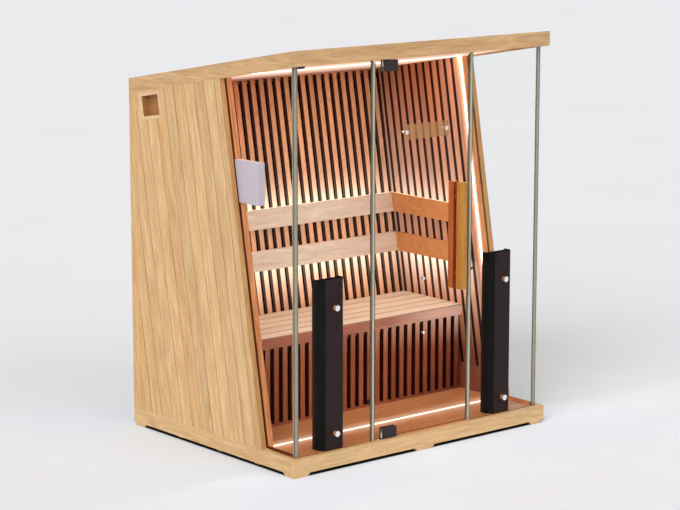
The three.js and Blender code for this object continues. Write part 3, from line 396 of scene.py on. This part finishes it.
def glass(name, tint, edge_tint):
    """Clear plate that lets lamp light through and shows its tint on the cut edges."""
    shader = Shader(name)
    x, y, z = shader.place()
    smear = shader.noise(shader.vector(x, y, z), 3.0, detail=2.0)
    shader.set(Base_Color=tint, Roughness=shader.ramp(smear, 0.3, 0.7, 0.0, 0.02), IOR=1.05)
    shader.set(Transmission_Weight=1.0)
    rays = shader.add("ShaderNodeLightPath").outputs
    soft_ray = shader.math("MAXIMUM", rays["Is Shadow Ray"], rays["Is Diffuse Ray"])
    clear = shader.add("ShaderNodeBsdfTransparent", {"Color": edge_tint})
    mix = shader.add("ShaderNodeMixShader", {0: soft_ray, 1: shader.surface.outputs[0], 2: clear.outputs[0]})
    shader.feed(shader.output.inputs[0], mix.outputs[0])
    return shader.material


def coated(name, colour, gloss, metal=0.0, fleck=0.06, shine=0.5, part=None, part_colour=None):
    """Powder coat, moulded plastic or plain metal with a fine texture and slight unevenness.

    A part of the piece can take another colour: painted shade on the heater covers' folds, and a painted
    highlight on the fittings' left end faces by the glass.
    """
    shader = Shader(name)
    x, y, z = shader.place()
    place = shader.vector(x, y, z)
    fine = shader.noise(place, 1400.0, detail=2.0)
    broad = shader.noise(place, 9.0, detail=3.0)
    level = shader.ramp(broad, 0.3, 0.7, 1.0 - fleck, 1.0 + fleck)
    if part:
        colour = shader.blend(part(shader, x, y, z), colour, part_colour)
    tinted = shader.blend(1.0, colour, shader.vector(level, level, level), mode="MULTIPLY")
    shader.set(Base_Color=tinted, Metallic=metal, Specular_IOR_Level=shine)
    shader.set(Roughness=shader.ramp(fine, 0.25, 0.75, gloss - 0.04, gloss + 0.06))
    shader.bump(fine, 0.015, 0.0003)
    return shader.material


def clear_seal(name, centre, half_width, middle, edge):
    """Clear strip over a joint between panes: pale along its middle, darker towards its edges, then faint."""
    shader = Shader(name)
    x, y, z = shader.place()
    off_joint = shader.math("ABSOLUTE", shader.math("SUBTRACT", shader.math("ABSOLUTE", x), centre))
    cloudy = shader.noise(shader.vector(x, y, shader.math("MULTIPLY", z, 0.2)), 120.0, detail=2.0)
    # Painted highlight and shade: the pale middle and darker edges stand for light through the clear rounded
    # strip
    outer = shader.ramp(off_joint, half_width * 0.45, half_width * 0.75)
    shader.set(Base_Color=shader.blend(outer, middle, edge))
    shader.set(Roughness=shader.ramp(cloudy, 0.3, 0.7, 0.18, 0.30))
    shader.set(Alpha=shader.ramp(off_joint, half_width, half_width + 0.0008, 0.9, 0.2))
    return shader.material


def glow(name, colour, strength):
    """A lit diffuser with faint bright points along it."""
    shader = Shader(name)
    x, y, z = shader.place()
    dots = shader.noise(shader.vector(x, y, z), 60.0, detail=1.0)
    shader.set(Base_Color=colour, Roughness=0.4, Emission_Color=colour)
    shader.set(Emission_Strength=shader.ramp(dots, 0.3, 0.7, strength * 0.9, strength * 1.1))
    return shader.material


def two_metals(name, front, back, split_y):
    """One metal in front of a depth and another behind it, for studs and knobs on the glass."""
    shader = Shader(name)
    x, y, z = shader.place()
    fine = shader.noise(shader.vector(x, y, z), 800.0, detail=2.0)
    is_back = shader.math("GREATER_THAN", y, split_y)
    shader.set(Base_Color=shader.blend(is_back, front, back))
    shader.set(Metallic=shader.ramp(is_back, 0.0, 1.0, 0.85, 0.3))
    shader.set(Roughness=shader.ramp(fine, 0.3, 0.7, 0.16, 0.26))
    return shader.material


def acrylic(name, colour, metal, caps, cap_radius):
    """Translucent tinted plate with bright round fixings at given x, z places."""
    shader = Shader(name)
    x, y, z = shader.place()
    inside = 0.0
    for cap_x, cap_z in caps:
        dx = shader.math("SUBTRACT", x, cap_x)
        dz = shader.math("SUBTRACT", z, cap_z)
        squares = shader.math("ADD", shader.math("MULTIPLY", dx, dx), shader.math("MULTIPLY", dz, dz))
        inside = shader.math("MAXIMUM", inside, shader.math("LESS_THAN", squares, cap_radius ** 2))
    shader.set(Base_Color=shader.blend(inside, colour, metal), Metallic=inside, Roughness=0.16)
    shader.set(Alpha=shader.ramp(inside, 0.0, 1.0, 0.42, 1.0))
    return shader.material


# Materials of the solids

PALE = (0.79, 0.53, 0.265)
PALE_DARK = (0.55, 0.315, 0.125)
FASCIA = (0.70, 0.445, 0.215)
FASCIA_DARK = (0.48, 0.262, 0.102)
CEDAR = (0.60, 0.208, 0.082)
CEDAR_DARK = (0.40, 0.114, 0.039)
BACK = (0.85, 0.400, 0.175)
BACK_DARK = (0.61, 0.238, 0.091)
POST = (0.93, 0.385, 0.155)
POST_DARK = (0.52, 0.171, 0.062)
KICK = (0.47, 0.140, 0.058)
KICK_DARK = (0.29, 0.072, 0.028)
BENCH = (0.91, 0.755, 0.585)
BENCH_DARK = (0.775, 0.59, 0.425)
REST = (0.945, 0.81, 0.68)
REST_DARK = (0.785, 0.60, 0.465)
FLOOR = (0.66, 0.28, 0.11)
FLOOR_DARK = (0.46, 0.160, 0.052)
HONEY = (0.60, 0.29, 0.066)
HONEY_DARK = (0.40, 0.155, 0.026)
SEAM_TINT = (0.46, 0.33, 0.23)
WARM_TINT = (0.97, 0.84, 0.70)
# Painted shade for the slats' side faces in the gaps between them
SLAT_SIDE_SHADE = (0.15, 0.035, 0.012)
LIT_TINT = (0.89, 0.81, 0.67)
LIT_SHARE = 0.70

# Painted shade on the walls' front faces
side_boards = wood(
    "side_boards", PALE, PALE_DARK, "lean", OUTER_BOARD_PITCH, FIRST_OUTER_JOINT, tone=0.08, warm=0.8,
    seam=0.002, seam_limit=REAR_STILE, parts=[(shaded_front_faces, (0.92, 0.72, 0.52), 1.0)],
)
rear_boards = wood(
    "rear_boards", PALE, PALE_DARK, "z", 2 * REAR_HALF / REAR_BOARDS, -REAR_HALF, tone=0.08, warm=0.8,
    seam=0.002,
)
trim_x = wood("trim_along_x", PALE, PALE_DARK, "x")
trim_y = wood("trim_along_y", PALE, PALE_DARK, "y")
fascia_wood = wood("fascia_wood", FASCIA, FASCIA_DARK, "frame")
roof_wood = wood("roof_wood", PALE, PALE_DARK, "x", ROOF_BOARD_PITCH, 0.0, tone=0.05)
# Painted shade on the slats' side faces and low on the wall; painted glow from the light strips
side_slats = wood(
    "side_slats", CEDAR, CEDAR_DARK, "lean", SIDE_PITCH, EDGE_AT_GROUND + SIDE_GAP_MIDDLE, tone=0.12,
    figure=0.25, parts=[(shaded_side_slat_sides, SLAT_SIDE_SHADE, 0.08), (shade_near_floor, (0.42, 0.28, 0.26), 0.3)],
    light=side_light, shine=0.08,
)
# Painted shade on the slats' side faces and towards the upper left; painted glow from the backrest strips
back_slats = wood(
    "back_slats", BACK, BACK_DARK, "z", BACK_PITCH, BACK_PITCH / 2, tone=0.14, figure=0.25,
    parts=[(shaded_slat_sides, SLAT_SIDE_SHADE, 0.15), (shade_far_top, (0.84, 0.42, 0.36), 0.5)], light=wall_light, shine=0.08,
)
# Painted shade on the slats' side faces and in the lower right corner; painted glow from above
kick_slats = wood(
    "kick_slats", KICK, KICK_DARK, "z", BACK_PITCH, BACK_PITCH / 2, tone=0.14, figure=0.25,
    parts=[(shaded_slat_sides, SLAT_SIDE_SHADE, 0.0), (dim_corner, (0.56, 0.47, 0.52), 1.0)], light=kick_light, shine=0.08,
)
# Painted shade on the post beside the wall; painted glow from its light strip
post_wood = wood(
    "post_wood", POST, POST_DARK, "lean", parts=[(shade_beside_wall, (0.16, 0.10, 0.09), 1.0)], light=post_light,
    shine=0.1,
)
ceiling_wood = wood(
    "ceiling_wood", CEDAR, CEDAR_DARK, "x", CEILING_BOARD_PITCH, 0.0, tone=0.12, light=ceiling_light,
    shine=0.2,
)
# Painted shade on the bench's front below its top; painted glow from the backrest strips
bench_boards = wood(
    "bench_boards", BENCH, BENCH_DARK, "x", BENCH_BOARD_PITCH, BENCH_FRONT, tone=0.05, gloss=0.42, seam=0.006,
    parts=[(below_bench_top, (1.0, 0.28, 0.10), 1.0)], light=bench_light,
)
rest_boards = wood(
    "rest_boards", REST, REST_DARK, "x", figure=0.7, shine=0.3,
    parts=[(on_side_wings, (0.79, 0.42, 0.185), 1.0)],
)
deck_boards = wood(
    "deck_boards", FLOOR, FLOOR_DARK, "x", DECK_BOARD_PITCH, DECK_REAR, tone=0.08, gloss=0.36,
    light=floor_light,
)
# Painted light: the handle's left faces in the tone of a lit side
outer_handle = wood(
    "outer_handle", HONEY, HONEY_DARK, "z", gloss=0.38, shine=0.25,
    parts=[(lit_left_faces, (0.92, 0.90, 0.60), 1.0)],
)
# Painted light on the inner handle's left faces, painted shade on its front faces
inner_handle = wood(
    "inner_handle", HONEY, HONEY_DARK, "z", gloss=0.38, shine=0.25,
    parts=[(lit_left_faces, (0.88, 0.48, 0.55), 1.0), (shaded_front_faces, (0.62, 0.17, 0.15), 1.0)],
)
# Painted shade on the faces inside the vent opening that turn to the front
vent_wood = wood(
    "vent_wood", (0.84, 0.58, 0.34), (0.66, 0.40, 0.19), "y", parts=[(shaded_front_faces, (0.52, 0.42, 0.26), 1.0)],
)
shutter_wood = wood("shutter_wood", (0.45, 0.21, 0.062), (0.32, 0.135, 0.036), "y")
clear_glass = glass("clear_glass", (0.985, 0.995, 0.99), (0.975, 0.985, 0.98))
corner_seal = clear_seal("corner_seal", CORNER_CENTRE, 0.0125, (0.36, 0.33, 0.25), (0.16, 0.135, 0.085))
door_joint = clear_seal("door_joint", JOINT_CENTRE, 0.0092, (0.58, 0.54, 0.43), (0.13, 0.108, 0.062))
heater_dark = coated("heater_dark", (0.012, 0.0022, 0.001), 0.8, shine=0.02)
# Painted shade on the heater covers' folded sides
black_coat = coated(
    "black_coat", (0.028, 0.0165, 0.018), 0.48, shine=0.06, part=heater_fold_shade,
    part_colour=(0.005, 0.0055, 0.005),
)
# Painted highlight on the fittings' left end faces by the glass
patch_coat = coated(
    "patch_coat", (0.018, 0.0135, 0.0135), 0.36, shine=0.3, part=painted_highlight_edge,
    part_colour=(0.80, 0.79, 0.77),
)
grey_shell = coated("grey_shell", (0.55, 0.48, 0.545), 0.45, fleck=0.03)
screen_black = coated("screen_black", (0.008, 0.009, 0.011), 0.08)
stud_metal = two_metals("stud_metal", (0.90, 0.88, 0.86), (0.70, 0.25, 0.11), STUD_CAP)
knob_metal = two_metals("knob_metal", (0.90, 0.88, 0.86), (0.10, 0.09, 0.09), GLASS_OUTER - KNOB_STEM)
plaque_plate = acrylic(
    "plaque_plate", (0.46, 0.225, 0.075), (0.86, 0.83, 0.80), PLAQUE_CAPS, PLAQUE_CAP_RADIUS,
)
floor_strip = glow("floor_strip", (1.0, 0.93, 0.84), FLOOR_STRENGTH)
post_strip = glow("post_strip", (1.0, 0.93, 0.84), POST_STRENGTH)
ceiling_strip = glow("ceiling_strip", (1.0, 0.96, 0.91), CEILING_STRENGTH)
backrest_light = glow("backrest_light", (1.0, 0.80, 0.58), BACKREST_STRENGTH)

FINISH = {
    side_boards: ["left_outer_wall", "right_outer_wall"],
    rear_boards: ["rear_wall"],
    trim_x: ["front_skirt", "rear_skirt", "floor_runner_front", "floor_runner_middle", "floor_runner_rear"],
    trim_y: ["left_skirt", "right_skirt"],
    fascia_wood: ["roof_fascia"],
    vent_wood: ["vent_frame"],
    roof_wood: ["roof_cover"],
    side_slats: ["left_slat_panel", "right_slat_panel"],
    back_slats: ["back_slat_panel"],
    kick_slats: ["kick_slat_panel"],
    post_wood: ["left_front_post", "right_front_post"],
    ceiling_wood: ["ceiling_panel"],
    bench_boards: ["bench_seat"],
    rest_boards: ["backrest_upper", "backrest_lower"],
    deck_boards: ["floor_deck"],
    outer_handle: ["handle_outer"],
    inner_handle: ["handle_inner"],
    shutter_wood: ["vent_shutter"],
    clear_glass: [
        "glass_left_side", "glass_right_side", "glass_front_left", "glass_front_right", "door_glass",
    ],
    corner_seal: ["corner_seal_left", "corner_seal_right"],
    door_joint: ["joint_seal_left", "joint_seal_right"],
    heater_dark: [
        "left_heater_panel", "right_heater_panel", "back_heater_panel", "calf_heater_panel",
        "heater_emitter_left", "heater_emitter_right",
    ],
    black_coat: ["heater_cover_left", "heater_cover_right", "power_unit"],
    patch_coat: ["door_patch_top", "door_patch_bottom", "pivot_top", "pivot_bottom"],
    stud_metal: ["heater_mount_left", "heater_mount_right"],
    plaque_plate: ["plaque"],
    grey_shell: ["control_box"],
    screen_black: ["control_screen"],
    floor_strip: ["led_floor"],
    post_strip: ["led_left", "led_right"],
    ceiling_strip: ["led_ceiling"],
    backrest_light: ["led_backrest_upper", "led_backrest_lower"],
}
for material, names in FINISH.items():
    for name in names:
        nodes[name].data.materials.clear()
        nodes[name].data.materials.append(material)


# Small fittings

def piece(name, mesh, material, body):
    obj = bpy.data.objects.new(name, mesh)
    scene.collection.objects.link(obj)
    mesh.materials.append(material)
    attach(obj, body)


def finish_mesh(name, shape, bevel=0.0):
    if bevel:
        edges = [edge for edge in shape.edges if len(edge.link_faces) == 2 and edge.calc_face_angle() > 0.6]
        bmesh.ops.bevel(shape, geom=edges, offset=bevel, segments=2, affect="EDGES", profile=0.6)
    bmesh.ops.recalc_face_normals(shape, faces=shape.faces)
    mesh = bpy.data.meshes.new(name)
    shape.to_mesh(mesh)
    shape.free()
    return mesh


def drawn_mesh(name, corners, reach, bevel=0.0):
    """A flat outline of points drawn out by a vector."""
    shape = bmesh.new()
    face = shape.faces.new([shape.verts.new(corner) for corner in corners])
    drawn = bmesh.ops.extrude_face_region(shape, geom=[face])
    moved = [item for item in drawn["geom"] if isinstance(item, bmesh.types.BMVert)]
    bmesh.ops.translate(shape, verts=moved, vec=reach)
    return finish_mesh(name, shape, bevel)


def profile_mesh(name, outline, low, high, bevel=0.0):
    """A plan outline of x, y points drawn up from one level to another."""
    return drawn_mesh(name, [(x, y, low) for x, y in outline], (0, 0, high - low), bevel)


def turned_mesh(name, profile, centre, sides=28):
    """A round piece about an axis along y: profile points are distance in front of the centre and radius."""
    shape = bmesh.new()
    rings = []
    for reach, radius in profile:
        ring = []
        for side in range(sides):
            angle = 2 * math.pi * side / sides
            offset = Vector((radius * math.cos(angle), -reach, radius * math.sin(angle)))
            ring.append(shape.verts.new(Vector(centre) + offset))
        rings.append(ring)
    for ring, following in zip(rings, rings[1:]):
        for side in range(sides):
            after = (side + 1) % sides
            shape.faces.new((ring[side], ring[after], following[after], following[side]))
    shape.faces.new(rings[0])
    shape.faces.new(rings[-1])
    mesh = finish_mesh(name, shape)
    for face in mesh.polygons:
        face.use_smooth = len(face.vertices) == 4
    return mesh


def add_corner_gaps():
    """One more gap in each side lining, a pitch behind the last one and beside the rear corner."""
    middle = SIDE_GAP_MIDDLE + SIDE_GAPS * SIDE_PITCH
    start, end = middle - SIDE_GAP / 2, middle + SIDE_GAP / 2
    outline = [(start, SIDE_GAP_BOTTOM), (end, SIDE_GAP_BOTTOM), (end, SIDE_GAP_TOP), (start, SIDE_GAP_TOP)]
    for side, sign in (("left", -1), ("right", 1)):
        name = f"{side}_gap_cutter"
        inner = sign * (LINING_FACE - FIT)
        corners = [(inner, EDGE_AT_GROUND + behind + SLOPE * z, z) for behind, z in outline]
        through = (sign * (SLAT_THICKNESS + 2 * FIT), 0, 0)
        cutter = bpy.data.objects.new(name, drawn_mesh(name, corners, through))
        cutter.hide_render = True
        scene.collection.objects.link(cutter)
        cut = nodes[f"{side}_slat_panel"].modifiers.new("corner_gap", "BOOLEAN")
        cut.operation = "DIFFERENCE"
        cut.object = cutter


def add_door_seals():
    """Clear U seals on the door's two upright edges, with a soft lip towards the fixed panes."""
    wall, cover, lip = 0.0016, 0.010, 0.0014
    for side, sign in (("left", -1), ("right", 1)):
        edge = DOOR_HALF + FIT
        outline = [
            (edge + lip, GLASS_OUTER - wall), (edge - cover, GLASS_OUTER - wall),
            (edge - cover, GLASS_OUTER - FIT), (edge, GLASS_OUTER - FIT),
            (edge, GLASS_INNER + FIT), (edge - cover, GLASS_INNER + FIT),
            (edge - cover, GLASS_INNER + wall), (edge + lip, GLASS_INNER + wall),
        ]
        mesh = profile_mesh(f"door_seal_{side}", [(sign * x, y) for x, y in outline], DOOR_BOTTOM, DOOR_TOP)
        piece(f"door_seal_{side}", mesh, door_joint, "door")


def add_knobs():
    """Two small turned knobs on the door, for towels."""
    for index, height in enumerate(KNOB_HEIGHTS):
        profile = [
            (FIT, 0.006), (0.003, 0.006), (0.004, 0.004), (0.010, 0.004), (KNOB_STEM, 0.0065),
            (0.016, 0.0075), (0.018, 0.006),
        ]
        mesh = turned_mesh(f"door_knob_{index}", profile, (0.0, GLASS_OUTER, height))
        piece(f"door_knob_{index}", mesh, knob_metal, "door")


def add_glass_fittings():
    """The door's catch and bump stop on the fixed panes, and the clip at the top of the left pane."""
    blocks = {
        "door_catch": (0.332, 0.346, GLASS_INNER + FIT, GLASS_INNER + 0.010, 0.857, 0.871),
        "bump_stop": (-0.336, -0.322, GLASS_INNER + 0.0026, GLASS_INNER + 0.011, 0.275, 0.300),
        "pane_clip": (-0.778, -0.734, GLASS_OUTER - 0.0035, GLASS_OUTER - FIT, 1.934, 1.952),
    }
    for name, (x0, x1, y0, y1, z0, z1) in blocks.items():
        outline = [(x0, y0), (x1, y0), (x1, y1), (x0, y1)]
        piece(name, profile_mesh(name, outline, z0, z1, bevel=0.0015), patch_coat, "cabin")


add_corner_gaps()
add_door_seals()
add_knobs()
add_glass_fittings()

# Softened edges on what is handled, seen close or catches light
SOFT_EDGES = {
    0.0015: [
        "front_skirt", "rear_skirt", "left_skirt", "right_skirt", "roof_fascia",
        "backrest_upper", "backrest_lower", "left_front_post", "right_front_post",
        "door_patch_top", "door_patch_bottom",
    ],
    0.0025: ["vent_frame"],
    0.003: ["handle_outer", "handle_inner", "control_box", "heater_cover_left", "heater_cover_right"],
    0.004: ["bench_seat"],
    0.001: ["left_slat_panel", "right_slat_panel", "back_slat_panel", "kick_slat_panel"],
}
for width, names in SOFT_EDGES.items():
    for name in names:
        bevel = nodes[name].modifiers.new("soft_edge", "BEVEL")
        bevel.width = width
        bevel.segments = 2
        bevel.limit_method = "ANGLE"
        bevel.angle_limit = math.radians(40)
        bevel.use_clamp_overlap = True


# Camera, floor and light

def add_camera():
    camera = bpy.data.objects.new("camera", bpy.data.cameras.new("camera"))
    camera.data.lens = CAMERA_LENS
    camera.data.sensor_width = 36.0
    camera.data.clip_end = 500.0
    camera.location = CAMERA_PLACE
    camera.rotation_euler = (math.radians(90 - CAMERA_PITCH), 0.0, math.radians(-CAMERA_YAW))
    scene.collection.objects.link(camera)
    scene.camera = camera


def add_floor():
    shape = bmesh.new()
    bmesh.ops.create_circle(shape, cap_ends=True, segments=64, radius=150.0)
    mesh = finish_mesh("studio_floor", shape)
    floor = bpy.data.objects.new("studio_floor", mesh)
    floor.location.z = -0.0005
    scene.collection.objects.link(floor)
    shader = Shader("studio_floor")
    x, y, z = shader.place()
    mottle = shader.noise(shader.vector(x, y, z), 0.8, detail=2.0)
    level = shader.ramp(mottle, 0.3, 0.7, 0.99, 1.01)
    tinted = shader.blend(1.0, BACKDROP, shader.vector(level, level, level), mode="MULTIPLY")
    beside = shader.math("SUBTRACT", shader.math("ABSOLUTE", x), HALF_WIDTH)
    before = shader.math("SUBTRACT", shader.math("ABSOLUTE", shader.math("SUBTRACT", y, SHIFT)), HALF_DEPTH)
    outside = shader.math("MAXIMUM", beside, before)
    # Painted light: cooler floor near the cabin, cancelling the warm bounced light
    cooling_reach = shader.ramp(outside, 0.0, 0.9, 1.0, 0.0)
    tinted = shader.blend(cooling_reach, tinted, FLOOR_BOUNCE_COOLING, mode="MULTIPLY")
    # Painted shadow: the floor under the cabin near black, as in its shade
    shadow_under = shader.ramp(outside, 0.0, -0.01)
    shader.set(Base_Color=shader.blend(shadow_under, tinted, FLOOR_SHADOW_UNDER))
    shader.set(Roughness=0.9, Specular_IOR_Level=0.0)
    mesh.materials.append(shader.material)


def add_world():
    world = bpy.data.worlds.new("studio")
    world.use_nodes = True
    tree = world.node_tree
    background = tree.nodes["Background"]
    rays = tree.nodes.new("ShaderNodeLightPath")
    seen = tree.nodes.new("ShaderNodeMath")
    seen.operation = "MAXIMUM"
    sharp = tree.nodes.new("ShaderNodeMath")
    sharp.operation = "MAXIMUM"
    tree.links.new(rays.outputs["Is Glossy Ray"], sharp.inputs[0])
    tree.links.new(rays.outputs["Is Transmission Ray"], sharp.inputs[1])
    tree.links.new(rays.outputs["Is Camera Ray"], seen.inputs[0])
    tree.links.new(sharp.outputs[0], seen.inputs[1])
    strength = tree.nodes.new("ShaderNodeMapRange")
    strength.inputs["To Min"].default_value = SKY_STRENGTH
    strength.inputs["To Max"].default_value = 1.0
    tree.links.new(seen.outputs[0], strength.inputs["Value"])
    tree.links.new(strength.outputs[0], background.inputs["Strength"])
    background.inputs["Color"].default_value = (*BACKDROP, 1.0)
    scene.world = world


def add_sun(name, direction, strength, softness):
    lamp = bpy.data.lights.new(name, "SUN")
    lamp.energy = strength
    lamp.angle = math.radians(softness)
    obj = bpy.data.objects.new(name, lamp)
    obj.rotation_euler = Vector(direction).to_track_quat("-Z", "Y").to_euler()
    scene.collection.objects.link(obj)


add_camera()
add_floor()
add_world()
add_sun("key", (0.75, 0.35, -0.62), 1.65, 40.0)
add_sun("fill", (-0.25, 0.85, -0.5), 0.55, 50.0)
scene.view_settings.view_transform = "Standard"
